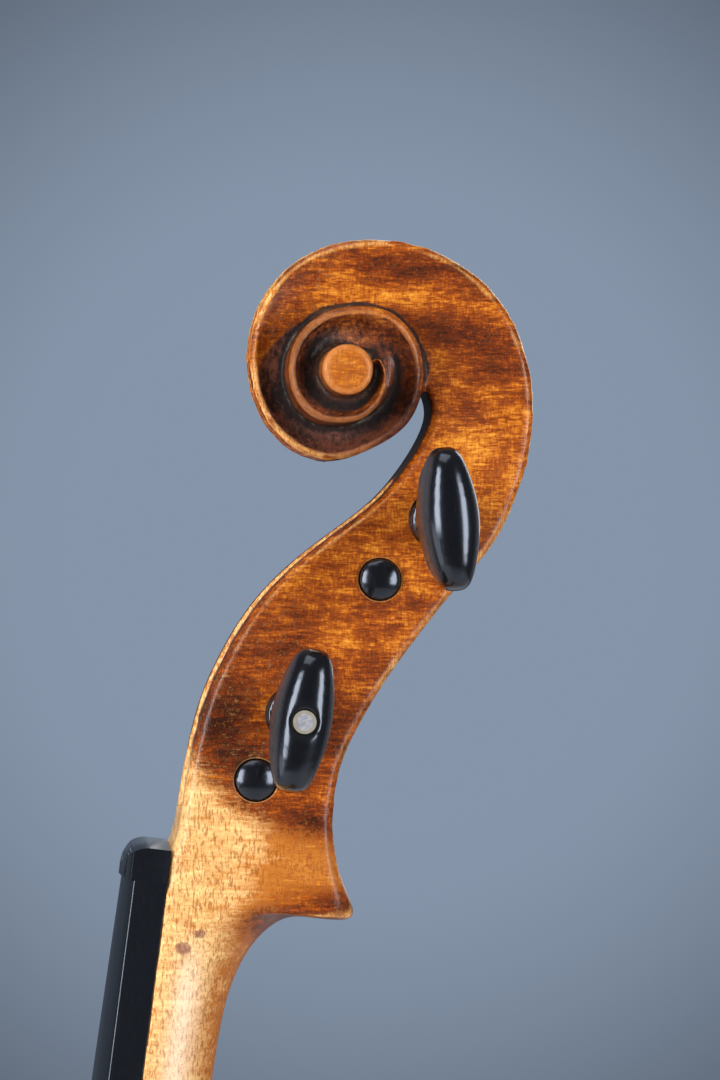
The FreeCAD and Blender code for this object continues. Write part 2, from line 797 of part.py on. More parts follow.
def nut():
    radius = board_radius + nut_proud
    half = board_width / 2
    sag = board_radius - math.sqrt(board_radius ** 2 - half ** 2)
    height = board_side + sag + nut_proud
    front = neck_point(-height, 0)
    back = neck_point(-height + nut_round, nut_length)
    corner = neck_point(
        -height + nut_round * (1 - math.cos(math.pi / 4)),
        nut_length - nut_round * (1 - math.sin(math.pi / 4)))
    top_start = neck_point(-height, nut_length - nut_round)
    edges = [line(neck_point(0, 0), front), line(front, top_start),
             Part.Arc(top_start, corner, back).toShape(),
             line(back, neck_point(0, nut_length)), line(neck_point(0, nut_length), neck_point(0, 0))]
    face = Part.Face(Part.Wire(edges))
    block = face.extrude(Vector(2 * half, 0, 0))
    block.translate(Vector(-half, 0, 0))
    way = neck_point(0, nut_length) - neck_point(0, 0)
    centre = neck_point(radius - height, -overrun)
    crown = Part.makeCylinder(radius, nut_length + 2 * overrun, centre, way)
    solid = block.common(crown)
    for index in range(4):
        side = (index - 1.5) * string_spacing
        down = radius - math.sqrt(radius ** 2 - side ** 2)
        start = neck_point(down - height, -overrun, side)
        solid = solid.cut(Part.makeCylinder(string_slot, nut_length + 2 * overrun, start, way))
    return solid


# Ribs, linings and blocks
def rib_pieces(ring, root):
    low = body_height(lower_joint_share)
    high = body_height(upper_joint_share)
    reach = lower_half_width
    bands = {"lower": (-body_length, low), "middle": (low, high), "upper": (high, 0)}
    pieces = {}
    for place, (z0, z1) in bands.items():
        for side, x0, x1 in (("treble", 0, reach), ("bass", -reach, 0)):
            piece = ring.common(box(x0, x1, 0, rib_height, z0, z1))
            if place == "upper":
                piece = piece.cut(root)
            pieces[place + "_rib_" + side] = piece
    return pieces


def lining_pieces(ring, blocks, name):
    low = body_height(lower_joint_share)
    high = body_height(upper_joint_share)
    longest = {}
    for solid in ring.cut(blocks).Solids:
        centre = solid.CenterOfMass
        place = "lower" if centre.z < low else "middle" if centre.z < high else "upper"
        if centre.x > 0 and (place not in longest or solid.Volume > longest[place].Volume):
            longest[place] = solid
    pieces = {}
    for place, solid in longest.items():
        pieces[name + "_" + place + "_treble"] = solid
        pieces[name + "_" + place + "_bass"] = mirrored(solid)
    return pieces


def corner_block(inside, z_share, half_width):
    centre_z = body_height(z_share)
    cell = box(half_width - corner_block_reach * 1.5, half_width + overrun, 0, rib_height,
               centre_z - corner_block_reach, centre_z + corner_block_reach)
    return inside.common(cell)


def block_pieces(inside):
    low = -body_length + overhang + rib_thickness
    high = -overhang - rib_thickness
    pieces = {
        "neck_block": inside.common(box(
            -neck_block_width / 2, neck_block_width / 2, 0, rib_height, high - neck_block_depth, 0)),
        "end_block": inside.common(box(
            -end_block_width / 2, end_block_width / 2, 0, rib_height,
            -body_length, low + end_block_depth))}
    corners = (("lower", lower_joint_share, lower_corner_share * lower_half_width),
               ("upper", upper_joint_share, upper_corner_share * upper_half_width))
    for place, z_share, half_width in corners:
        block = corner_block(inside, z_share, half_width)
        pieces[place + "_corner_block_treble"] = block
        pieces[place + "_corner_block_bass"] = mirrored(block)
    return pieces


# Saddle: follows the edge of the belly, rounded outside and sloped at its ends
def saddle(outline):
    z0 = -body_length
    z1 = z0 + saddle_depth
    top = -saddle_height
    diagonal = saddle_round * (1 - math.sqrt(0.5))
    start = Vector(0, top, z0 + saddle_round)
    middle = Vector(0, top + diagonal, z0 + diagonal)
    finish = Vector(0, top + saddle_round, z0)
    corners = [Vector(0, 0, z0), Vector(0, 0, z1), Vector(0, top, z1)]
    edges = [Part.Arc(start, middle, finish).toShape(), line(finish, corners[0])]
    edges += [line(corners[0], corners[1]), line(corners[1], corners[2]), line(corners[2], start)]
    side_face = Part.Face(Part.Wire(edges))
    half = saddle_width / 2
    side = side_face.extrude(Vector(saddle_width, 0, 0))
    side.translate(Vector(-half, 0, 0))
    low = -saddle_end_height
    ends = [Vector(-half, 0, z0), Vector(half, 0, z0), Vector(half, low, z0),
            Vector(half - saddle_end_run, top, z0), Vector(saddle_end_run - half, top, z0),
            Vector(-half, low, z0)]
    front = Part.Face(Part.makePolygon(ends + ends[:1])).extrude(Vector(0, 0, saddle_depth))
    return side.common(front).common(prism(outline, top, 0))


# End pin: half outline of its head, then the tapered shank in the end block
end_pin_shares = [
    (0.72, 0), (0.9, 0.02), (1, 0.09), (0.98, 0.2), (0.76, 0.32), (0.7, 0.42), (0.78, 0.56), (0.97, 0.7),
    (1, 0.8), (0.88, 0.91), (0.55, 0.98), (0, 1)]


def end_pin_place():
    return Vector(0, rib_height / 2, -body_length + overhang)


def end_pin_shank_cone(extra):
    large = end_pin_shank / 2
    small = large - (end_pin_length + extra) * peg_taper / 2
    cone = Part.makeCone(large, small, end_pin_length + extra, Vector(0, 0, 0), Vector(0, 0, 1))
    cone.translate(end_pin_place())
    return cone


def end_pin():
    profile = [Vector(r * end_pin_head / 2, 0, -z * end_pin_head_length) for r, z in end_pin_shares]
    axis_end = Vector(0, 0, 0)
    curve = spline(profile)
    face = Part.Face(Part.Wire([curve, line(profile[-1], axis_end), line(axis_end, profile[0])]))
    head = face.revolve(Vector(0, 0, 0), Vector(0, 0, 1), 360)
    head.translate(end_pin_place())
    return head.fuse(end_pin_shank_cone(0))


# The button that the heel stands on, drawn as part of the back
def button():
    half = button_width / 2
    centre = button_height - half
    stem = box(-half, half, 0, plate_edge, -half, centre)
    return stem.fuse(Part.makeCylinder(half, plate_edge, Vector(0, 0, centre), Vector(0, 1, 0)))


def plates(outline, hollow_outline, root):
    facing = Vector(0, 1, 0)
    origin = Vector(0, 0, 0)
    groove_floor = -plate_edge + purfling_depth
    groove = prism(inset_outline(outline, purfling_inset), groove_floor - overrun, groove_floor)
    groove = groove.cut(prism(
        inset_outline(outline, purfling_inset + purfling_width), groove_floor - 2 * overrun, 0))
    half = saddle_width / 2
    notch = box(-half, half, -plate_edge - overrun, 0,
                -body_length - overrun, -body_length + saddle_depth)
    hole = sound_hole()
    belly = plate(outline, hollow_outline, belly_rise).cut([hole, mirrored(hole), root, notch])
    pieces = {"belly": belly.cut(groove)}
    for solid in belly.common(groove).Solids:
        side = "treble" if solid.CenterOfMass.x > 0 else "bass"
        pieces["belly_purfling_" + side] = solid

    back = plate(outline, hollow_outline, back_rise).mirror(origin, facing).fuse(button())
    groove = groove.mirror(origin, facing)
    pieces["back"] = back.cut(groove)
    pieces["back_purfling"] = back.common(groove)
    for name in ("back", "back_purfling"):
        pieces[name].translate(Vector(0, rib_height, 0))
    return pieces


# Bass bar under the belly, and the sound post between the plates
def inner_fittings():
    under_belly = arch_solid(belly_rise, plate_edge - plate_thickness)
    highest = -belly_rise - plate_edge
    middle = -body_length / 2
    bar = box(-bar_offset - bar_thickness / 2, -bar_offset + bar_thickness / 2,
              highest, rib_height, middle - bar_length / 2, middle + bar_length / 2)
    below = under_belly.copy()
    below.translate(Vector(0, bar_height, 0))
    over_back = arch_solid(back_rise, plate_edge - plate_thickness)
    over_back = over_back.mirror(Vector(0, 0, 0), Vector(0, 1, 0))
    over_back.translate(Vector(0, rib_height, 0))
    between_plates = box(0, lower_half_width, 0, rib_height, -body_length, 0)
    start = Vector(post_offset, highest, -bridge_line - post_behind_bridge)
    length = rib_height + belly_rise + back_rise + 2 * plate_edge
    post = Part.makeCylinder(post_diameter / 2, length, start, Vector(0, 1, 0))
    room = under_belly.fuse([between_plates, over_back])
    return {"bass_bar": bar.common(under_belly).cut(below), "sound_post": post.common(room)}


def build():
    os.makedirs("parts", exist_ok=True)
    outline = outline_face()
    rib_outside = inset_outline(outline, overhang)
    rib_inside = inset_outline(outline, overhang + rib_thickness)
    lining_inside = inset_outline(outline, overhang + rib_thickness + lining_thickness)
    inside = both_halves(prism(rib_inside, 0, rib_height))
    outside = both_halves(prism(rib_outside, 0, rib_height))
    root = neck_root()
    shank = end_pin_shank_cone(overrun)

    nodes = rib_pieces(outside.cut(inside), root)
    blocks = block_pieces(inside)
    # The plates stay flat where they are glued to the blocks
    hollow_outline = lining_inside.cut([block.copy() for block in blocks.values()])
    ring = prism(rib_inside, 0, lining_height).cut(prism(lining_inside, 0, lining_height))
    back_ring = ring.copy()
    back_ring.translate(Vector(0, rib_height - lining_height, 0))
    nodes.update(lining_pieces(ring, list(blocks.values()), "belly_lining"))
    nodes.update(lining_pieces(back_ring, list(blocks.values()), "back_lining"))
    blocks["neck_block"] = blocks["neck_block"].cut(root)
    blocks["end_block"] = blocks["end_block"].cut(shank)
    for side in ("treble", "bass"):
        nodes["lower_rib_" + side] = nodes["lower_rib_" + side].cut(shank)
    nodes.update(blocks)

    nodes.update(plates(outline, max(hollow_outline.Faces, key=lambda face: face.Area), root))
    nodes.update(inner_fittings())
    nodes["saddle"] = saddle(outline)
    nodes["end_pin"] = end_pin()

    nodes["neck"] = neck()
    nodes["fingerboard"] = fingerboard()
    nodes["nut"] = nut()
    for name in peg_places:
        nodes[name] = peg(name)
    nodes["peg_e_pearl"] = pearl("peg_e")
    nodes["peg_e_pearl_ring"] = pearl_ring("peg_e")

    seat = head_point(pegbox_shares[-1][0])
    for name, shape in nodes.items():
        shape = shape.copy()
        shape.translate(-seat)
        if not shape.isValid() or len(shape.Solids) != 1:
            print(name, "valid", shape.isValid(), "solids", len(shape.Solids))
        shape.exportStep("parts/" + name + ".step")
    print(len(nodes), "pieces")


build()
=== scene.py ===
import json
import math
import bmesh
import bpy
import numpy as np
from mathutils import Matrix, Vector


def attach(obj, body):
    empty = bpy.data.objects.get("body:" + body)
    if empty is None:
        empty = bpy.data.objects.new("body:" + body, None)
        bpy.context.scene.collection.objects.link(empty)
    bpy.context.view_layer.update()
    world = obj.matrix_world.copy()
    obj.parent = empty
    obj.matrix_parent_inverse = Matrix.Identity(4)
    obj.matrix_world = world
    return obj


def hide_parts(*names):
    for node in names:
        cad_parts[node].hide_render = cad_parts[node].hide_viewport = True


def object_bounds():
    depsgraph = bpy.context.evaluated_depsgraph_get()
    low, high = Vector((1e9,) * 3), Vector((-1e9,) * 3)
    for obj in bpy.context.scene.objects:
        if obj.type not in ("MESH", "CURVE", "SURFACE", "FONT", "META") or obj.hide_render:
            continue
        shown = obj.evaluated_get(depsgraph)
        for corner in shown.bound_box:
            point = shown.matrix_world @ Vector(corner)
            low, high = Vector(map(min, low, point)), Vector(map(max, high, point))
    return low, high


# An unstrung violin hung by its scroll, seen from the treble side. The frame is in
# metres. Lengths in the pieces' dictionaries are in mm, those in the studio in metres.
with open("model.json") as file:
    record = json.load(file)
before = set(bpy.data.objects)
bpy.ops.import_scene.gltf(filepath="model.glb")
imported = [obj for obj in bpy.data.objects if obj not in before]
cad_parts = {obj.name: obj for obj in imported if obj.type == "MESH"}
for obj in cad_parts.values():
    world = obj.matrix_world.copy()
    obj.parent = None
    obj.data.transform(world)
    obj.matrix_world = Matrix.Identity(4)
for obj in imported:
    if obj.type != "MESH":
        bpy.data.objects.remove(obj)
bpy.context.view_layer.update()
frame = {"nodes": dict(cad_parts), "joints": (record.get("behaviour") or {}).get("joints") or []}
nodes = frame["nodes"]
mm = 0.001
print("frame loaded:", len(nodes), "nodes")

# Place of the head in the frame: depth runs back from the fingerboard's plane,
# along runs up from the nut, and the eye of the scroll is given by its y and z
head = {"tilt": math.radians(6.3), "throatDepth": 32.8, "throatAlong": 79.0, "eye": (-14.45, 7.63)}


# A colour as seen on a screen, 0 to 255
def tint(red, green, blue):
    def straight(value):
        share = value / 255
        return share / 12.92 if share <= 0.04045 else ((share + 0.055) / 1.055) ** 2.4
    return (straight(red), straight(green), straight(blue), 1)


# A socket that reads as a number, so shader maths can be written out
class Wire:
    def __init__(self, socket):
        self.socket = socket
        self.tree = socket.id_data

    def math(self, operation, values):
        return make(self.tree, "ShaderNodeMath", {"operation": operation}, values)

    def __add__(self, other):
        return self.math("ADD", [self, other])

    def __sub__(self, other):
        return self.math("SUBTRACT", [self, other])

    def __rsub__(self, other):
        return self.math("SUBTRACT", [other, self])

    def __mul__(self, other):
        return self.math("MULTIPLY", [self, other])

    def __pow__(self, other):
        return self.math("POWER", [self, other])

    def above(self, other):
        return self.math("MAXIMUM", [self, other])

    def below(self, other):
        return self.math("MINIMUM", [self, other])

    __radd__ = __add__
    __rmul__ = __mul__


def make(tree, kind, settings=None, inputs=None, output=0):
    node = tree.nodes.new(kind)
    for key, value in (settings or {}).items():
        setattr(node, key, value)
    pairs = inputs.items() if isinstance(inputs, dict) else enumerate(inputs or [])
    for key, value in pairs:
        if isinstance(value, Wire):
            tree.links.new(value.socket, node.inputs[key])
        else:
            node.inputs[key].default_value = value
    return Wire(node.outputs[output]) if node.outputs else node


# From 0 at low to 1 at high, softly, times a strength
def ramp(value, low, high, strength=1):
    soft = make(value.tree, "ShaderNodeMapRange", {"interpolation_type": "SMOOTHSTEP"},
                {"Value": value, "From Min": low, "From Max": high})
    return soft if strength == 1 else soft * strength


def blend(factor, first, second):
    return make(factor.tree, "ShaderNodeMix", {"data_type": "RGBA"},
                {0: factor, 6: first, 7: second}, 2)


# How far the named patterns stray from their middle, each times its weight
def stray(patterns, **weights):
    terms = [(patterns[name] - 0.5) * weight for name, weight in weights.items()]
    return sum(terms[1:], terms[0])


# What each material starts from: its own millimetres, and a finished surface
class Finish:
    def __init__(self, name, patterns):
        self.material = bpy.data.materials.new(name)
        self.material.use_nodes = True
        self.tree = self.material.node_tree
        self.tree.nodes.clear()
        place = make(self.tree, "ShaderNodeTexCoord", output=3)
        self.place = self.scaled(place, (1 / mm, 1 / mm, 1 / mm))
        self.x, self.y, self.z = [
            make(self.tree, "ShaderNodeSeparateXYZ", None, [self.place], part) for part in range(3)]
        self.patterns = {key: self.noise(*pattern) for key, pattern in patterns.items()}

    def scaled(self, place, by):
        return make(self.tree, "ShaderNodeVectorMath", {"operation": "MULTIPLY"}, [place, by])

    def noise(self, scale, detail, roughness, stretch=(1, 1, 1), warp=0.0):
        return make(self.tree, "ShaderNodeTexNoise", None, {
            "Vector": self.scaled(self.place, stretch), "Scale": scale, "Detail": detail,
            "Roughness": roughness, "Distortion": warp})

    def mark(self, name):
        return make(self.tree, "ShaderNodeAttribute", {"attribute_name": name}, output=2)

    def surface(self, colour, roughness, height=None, depth=0.1, **fixed):
        inputs = {"Base Color": colour, "Roughness": roughness}
        if height is not None:
            inputs["Normal"] = make(self.tree, "ShaderNodeBump", None, {
                "Height": height, "Strength": 1.0, "Distance": depth * mm})
        inputs.update(fixed)
        shader = make(self.tree, "ShaderNodeBsdfPrincipled", None, inputs)
        make(self.tree, "ShaderNodeOutputMaterial", None, [shader])
        return self.material


# Varnished maple of the head, from rubbed gold to near black, and the bare neck.
# A pattern holds its scale per mm, detail, roughness, stretch in x, y and z, and warp.
# An effect holds the value where it starts, where it is full, and its strength.
mapleHead = {
    # The palest colours stand partly for painted highlights, and the near black one partly for painted
    # shade
    "colours": {
        "bright": tint(216, 144, 50), "gold": tint(184, 106, 26), "amber": tint(142, 66, 10),
        "brown": tint(100, 40, 8), "dark": tint(54, 22, 9), "wornAndHighlight": tint(240, 190, 116),
        "rubbed": tint(170, 94, 36), "honey": tint(240, 200, 134), "honeyDark": tint(178, 108, 38),
        "stroke": tint(136, 76, 34), "neckHighlight": tint(250, 218, 188), "grimeAndShade": tint(20, 14, 13),
        "dust": tint(154, 142, 126), "dish": tint(98, 55, 41), "dishDark": tint(30, 17, 14),
        "spot": tint(112, 64, 58)},
    "patterns": {
        "clouds": (0.11, 5, 0.62, (1, 1, 1.4), 0.7), "bands": (0.3, 4, 0.6, (0.5, 0.3, 1.7), 0.8),
        "curl": (1.3, 3, 0.6, (0.7, 0.22, 1.5), 0.25), "mottle": (1.1, 5, 0.75, (1, 1.2, 0.9), 0.4),
        "fibres": (2.6, 2, 0.65, (1, 1.2, 0.26), 0.3), "grain": (2.4, 3, 0.65, (1, 0.3, 1.5), 0.35),
        "grit": (5.5, 2, 0.6)},
    "marks": ["ridge", "crease", "toneAndShade", "bare", "dish", "neckHighlight", "inner", "side", "aged", "fromPeg"],
    "darker": 0.17, "paler": 0.42, "age": 0.8,
    "tones": {"gold": (-0.6, -0.2), "amber": (-0.25, 0.12), "brown": (0.08, 0.42), "dark": (0.4, 0.78)},
    "effects": {
        "streaks": (0.6, 0.74, 0.5), "specks": (0.7, 0.8, 0.25), "strokes": (0.46, 0.66),
        "agedStrokes": (0.47, 0.63, 0.6), "bareEdge": (0.12, 0.88), "spots": (0.5, 0.85, 0.75),
        "dishMottle": (0.36, 0.66), "dishDust": (0.64, 0.76, 0.35), "dishEdge": (0.2, 0.75),
        "wearAndHighlight": (0.125, 0.215), "wearAndHighlightOffPeg": (4.4, 5.4), "wearAndHighlightOffThroat": (6.0, 14.0),
        "rubbed": (0.4, 0.62), "grimeAndShade": (0.11, 0.2), "dust": (0.3, 0.4, 0.28), "throat": (12.0, 20.0),
        "ringInside": (3.5, 3.56), "ringOutside": (3.6, 3.74), "pegGap": (3.42, 3.55)},
    "strokesLeft": (0.7, 0.4), "dishUnworn": 0.55, "wearAndHighlightShown": 0.9, "innerRubbed": 0.85,
    "grimeAndShadeShown": 0.9, "ringShown": 0.25, "bump": 0.08,
    "fixed": {"Coat Weight": 0.08, "Coat Roughness": 0.2, "Specular IOR Level": 0.22}}


def varnishColour(patterns, marks):
    c, effects = mapleHead["colours"], mapleHead["effects"]
    tone = marks["toneAndShade"] + mapleHead["darker"] + stray(
        patterns, clouds=1.5, bands=1.1, curl=1.1, mottle=0.9, fibres=0.8, grain=1.4)
    colour = c["bright"]
    for name, (low, high) in mapleHead["tones"].items():
        colour = blend(ramp(tone, low, high), colour, c[name])
    streaks = ramp(patterns["grain"] + stray(patterns, fibres=0.6), *effects["streaks"])
    colour = blend(streaks, colour, c["brown"])
    return blend(ramp(patterns["grit"], *effects["specks"]), colour, c["wornAndHighlight"])


# The neck, which a hand has kept bare, and where the varnish ends on it
def bareColour(colour, patterns, marks):
    c, effects = mapleHead["colours"], mapleHead["effects"]
    aged, neckHighlight = marks["aged"], marks["neckHighlight"]
    paleness = (stray(patterns, curl=1.0, mottle=1.8, bands=1.6, clouds=1.2)
                + mapleHead["paler"] + aged * mapleHead["age"])
    honey = blend(paleness.above(0).below(1), c["honey"], c["honeyDark"])
    # A painted highlight: a pale band down the middle of the neck, under which the strokes fade
    honey = blend(neckHighlight, honey, c["neckHighlight"])
    most, underHighlight = mapleHead["strokesLeft"]
    strokes = ramp(patterns["fibres"] + stray(patterns, mottle=0.5), *effects["strokes"])
    honey = blend(strokes * (most - neckHighlight * underHighlight), honey, c["stroke"])
    strokes = ramp(patterns["grain"] + stray(patterns, mottle=0.6), *effects["agedStrokes"])
    honey = blend(strokes * aged, honey, c["amber"])
    edge = ramp(marks["bare"] + stray(patterns, mottle=2.2, fibres=1.2, grain=1.6, clouds=0.6),
                *effects["bareEdge"])
    colour = blend(edge, colour, honey)
    spots = ramp(marks["toneAndShade"] + stray(patterns, mottle=0.6), *effects["spots"])
    return blend(spots * edge, colour, c["spot"])


# The hollows between the turns of the scroll are dark and dusty: partly real grime and dust, partly
# painted shade
def dishColour(colour, patterns, marks):
    c, effects = mapleHead["colours"], mapleHead["effects"]
    mottle = ramp(patterns["mottle"] + stray(patterns, clouds=0.8), *effects["dishMottle"])
    below = blend(mottle, c["dish"], c["dishDark"])
    below = blend(ramp(patterns["grit"], *effects["dishDust"]), below, c["dust"])
    edge = ramp(marks["dish"] + stray(patterns, mottle=0.8), *effects["dishEdge"])
    return blend(edge, colour, below)


# Wear and a painted highlight show on the ridges, but not round the pegs or in the throat
def wornAndHighlitShare(patterns, marks, fromThroat):
    effects = mapleHead["effects"]
    wearAndHighlight = ramp(marks["ridge"] + stray(patterns, mottle=0.14, clouds=0.12), *effects["wearAndHighlight"])
    wearAndHighlight = wearAndHighlight * ramp(marks["fromPeg"], *effects["wearAndHighlightOffPeg"])
    wearAndHighlight = wearAndHighlight * ramp(fromThroat, *effects["wearAndHighlightOffThroat"])
    return wearAndHighlight * (1 - marks["dish"] * mapleHead["dishUnworn"])


# A gap round each peg, painted near black as shade, and a pale ring
def pegHoleColour(colour, fromPeg):
    c, effects = mapleHead["colours"], mapleHead["effects"]
    ring = ramp(fromPeg, *effects["ringInside"]) * (1 - ramp(fromPeg, *effects["ringOutside"]))
    colour = blend(ring * mapleHead["ringShown"], colour, c["wornAndHighlight"])
    return blend(1 - ramp(fromPeg, *effects["pegGap"]), colour, c["grimeAndShade"])


def mapleHeadFinish():
    finish = Finish("varnished maple head", mapleHead["patterns"])
    patterns = finish.patterns
    marks = {name: finish.mark(name) for name in mapleHead["marks"]}
    c, effects = mapleHead["colours"], mapleHead["effects"]
    fromThroat = (finish.y * finish.y + finish.z * finish.z) ** 0.5
    colour = varnishColour(patterns, marks)
    colour = bareColour(colour, patterns, marks)
    colour = dishColour(colour, patterns, marks)
    # The ridges take a pale colour: partly worn varnish, partly a painted highlight along the edges
    wearAndHighlight = wornAndHighlitShare(patterns, marks, fromThroat)
    rubbed = ramp(patterns["mottle"] + stray(patterns, fibres=0.5), *effects["rubbed"])
    rubbed = blend(rubbed, c["wornAndHighlight"], c["gold"])
    rubbed = blend(marks["inner"] * mapleHead["innerRubbed"], rubbed, c["rubbed"])
    colour = blend(wearAndHighlight * mapleHead["wearAndHighlightShown"], colour, rubbed)
    # Creases and the throat go near black: in the creases partly real grime and partly painted shade,
    # in the throat painted shade only
    grimeAndShade = ramp(marks["crease"] + stray(patterns, mottle=0.08), *effects["grimeAndShade"])
    throat = marks["side"] * (1 - ramp(fromThroat, *effects["throat"]))
    grimeAndShade = grimeAndShade.above(throat * mapleHead["grimeAndShadeShown"])
    colour = blend(grimeAndShade * mapleHead["grimeAndShadeShown"], colour, c["grimeAndShade"])
    dust = ramp(marks["crease"] + stray(patterns, grit=0.2), *effects["dust"])
    colour = blend(dust, colour, c["dust"])
    colour = pegHoleColour(colour, marks["fromPeg"])
    roughness = (0.22 + patterns["mottle"] * 0.18 + grimeAndShade * 0.45 - wearAndHighlight * 0.04
                 + marks["dish"] * 0.1)
    height = (patterns["fibres"] * 0.6 + patterns["grit"] * 0.3 + patterns["curl"] * 0.4
              + patterns["mottle"] * 0.6)
    return finish.surface(colour, roughness, height, mapleHead["bump"], **mapleHead["fixed"])


# Body woods: flamed maple for the back and ribs, straight grained spruce for the belly
bodyVarnish = {
    "gold": tint(186, 100, 32), "brown": tint(124, 56, 18), "dark": tint(84, 38, 18),
    "pale": tint(204, 126, 46), "bump": 0.05}
flamedMaple = {
    "patterns": {"flame": (0.2, 3, 0.5, (0.14, 0.5, 1.2), 0.4), "clouds": (0.02, 4, 0.6),
                 "pores": (2.2, 3, 0.65, (1.4, 1.4, 0.3))},
    "flame": (0.32, 0.7, 0.75), "clouds": (0.5, 0.8, 0.6), "pores": (0.58, 0.72, 0.45),
    "fixed": {"Coat Weight": 0.35, "Coat Roughness": 0.16}}
bellySpruce = {
    "patterns": {"drift": (0.01, 2, 0.5), "fibre": (3.0, 2, 0.6, (1.2, 1.0, 0.04)),
                 "clouds": (0.018, 4, 0.62)},
    "rings": (0.1, 0.95, 0.75), "clouds": (0.42, 0.74, 0.75), "wander": 6, "ringsPerMm": 4.6,
    "fixed": {"Coat Weight": 0.3, "Coat Roughness": 0.18}}


def flamedMapleFinish():
    finish = Finish("varnished flamed maple", flamedMaple["patterns"])
    flame, clouds, pores = finish.patterns.values()
    colour = blend(ramp(flame, *flamedMaple["flame"]), bodyVarnish["gold"], bodyVarnish["brown"])
    colour = blend(ramp(clouds, *flamedMaple["clouds"]), colour, bodyVarnish["dark"])
    colour = blend(ramp(pores, *flamedMaple["pores"]), colour, bodyVarnish["dark"])
    return finish.surface(colour, 0.26 + pores * 0.16, pores * -0.5, bodyVarnish["bump"],
                          **flamedMaple["fixed"])


def bellySpruceFinish():
    finish = Finish("varnished spruce", bellySpruce["patterns"])
    drift, fibre, clouds = finish.patterns.values()
    across = finish.x + drift * bellySpruce["wander"]
    rings = across.math("SINE", [across * bellySpruce["ringsPerMm"]])
    shown = ramp(rings + stray(finish.patterns, fibre=2), *bellySpruce["rings"])
    colour = blend(shown, bodyVarnish["pale"], bodyVarnish["brown"])
    colour = blend(ramp(clouds, *bellySpruce["clouds"]), colour, bodyVarnish["brown"])
    return finish.surface(colour, 0.3 + fibre * 0.14, rings * 0.3 + fibre * 0.5,
                          bodyVarnish["bump"], **bellySpruce["fixed"])


# Woods of the inside, never varnished
bareWoods = {
    "bare spruce": (tint(226, 196, 150), tint(196, 158, 108)),
    "bare willow": (tint(214, 184, 142), tint(184, 146, 104))}
bareGrain = {"patterns": {"fibre": (2.4, 3, 0.6, (1, 1, 0.1))}, "fibre": (0.35, 0.7), "bump": 0.08}


def bareFinish(name):
    finish = Finish(name, bareGrain["patterns"])
    fibre = finish.patterns["fibre"]
    colour = blend(ramp(fibre, *bareGrain["fibre"]), *bareWoods[name])
    return finish.surface(colour, 0.6 + fibre * 0.2, fibre, bareGrain["bump"])


# Ebony: satin on the board and nut, polished on the pegs
ebony = {
    "patterns": {"pores": (3.2, 3, 0.7, (1.5, 1.5, 0.22)), "smudge": (0.25, 3, 0.6),
                 "scuffs": (1.4, 4, 0.7, (1, 1, 0.6))},
    "wood": tint(9, 9, 10), "pore": tint(22, 20, 20), "rubbed": tint(66, 62, 63),
    "pores": (0.55, 0.75), "ridge": (0.03, 0.12), "scuffs": (0.2, 0.5), "ridgeShown": 0.1,
    "flankShown": 0.6, "bump": 0.014,
    "fixed": {"Coat Roughness": 0.14, "Specular Tint": tint(206, 224, 255)}}


def ebonyFinish(name, gloss, shine, glare):
    finish = Finish(name, ebony["patterns"])
    pores, smudge, scuffs = finish.patterns.values()
    poreShare = ramp(pores, *ebony["pores"])
    ridge = ramp(finish.mark("ridge"), *ebony["ridge"])
    flank = finish.mark("flank") * ramp(scuffs, *ebony["scuffs"])
    colour = blend(poreShare, ebony["wood"], ebony["pore"])
    colour = blend(ridge * ebony["ridgeShown"] + flank * ebony["flankShown"], colour, ebony["rubbed"])
    roughness = gloss + smudge * 0.06 + poreShare * 0.08 + flank * 0.35
    height = pores * -0.4 + smudge * 0.2 + scuffs * 0.2
    return finish.surface(colour, roughness, height, ebony["bump"], **{
        "Coat Weight": shine, "Specular IOR Level": glare, **ebony["fixed"]})


# The dot in the E peg's head, the ring round it, and the purfling
inlays = {
    "shell": {"sheen": (0.9, 3, 0.6, (1, 1, 1), 1.5), "shown": (0.35, 0.65),
              "colours": (tint(112, 114, 126), tint(146, 146, 150))},
    "ring": {"haze": (1.5, 3, 0.55), "colours": (tint(112, 106, 92), tint(140, 134, 120))},
    "purfling": {"fibre": (1.5, 3, 0.6), "shown": (0.3, 0.7),
                 "colours": (tint(30, 20, 15), tint(52, 34, 22))}}


def shellFinish():
    looks = inlays["shell"]
    finish = Finish("pearl shell", {"sheen": looks["sheen"]})
    sheen = finish.patterns["sheen"]
    return finish.surface(blend(ramp(sheen, *looks["shown"]), *looks["colours"]), 0.3 + sheen * 0.1)


def ringFinish():
    looks = inlays["ring"]
    finish = Finish("pearl ring", {"haze": looks["haze"]})
    haze = finish.patterns["haze"]
    return finish.surface(blend(haze, *looks["colours"]), 0.35 + haze * 0.2)


def purflingFinish():
    looks = inlays["purfling"]
    finish = Finish("dark inlay", {"fibre": looks["fibre"]})
    fibre = finish.patterns["fibre"]
    return finish.surface(blend(ramp(fibre, *looks["shown"]), *looks["colours"]), 0.4 + fibre * 0.1)


finishes = {
    "mapleHead": mapleHeadFinish(), "mapleBody": flamedMapleFinish(),
    "spruceBelly": bellySpruceFinish(), "bareSpruce": bareFinish("bare spruce"),
    "bareWillow": bareFinish("bare willow"),
    "ebonySatin": ebonyFinish("satin ebony", 0.26, 0.4, 0.45),
    "ebonyPolished": ebonyFinish("polished ebony", 0.17, 0.35, 0.42),
    "pearl": shellFinish(), "pearlRing": ringFinish(), "inlay": purflingFinish()}
print("materials made:", len(finishes))


def clearSelection():
    for item in bpy.context.selected_objects:
        item.select_set(False)


def activate(piece):
    clearSelection()
    piece.select_set(True)
    bpy.context.view_layer.objects.active = piece


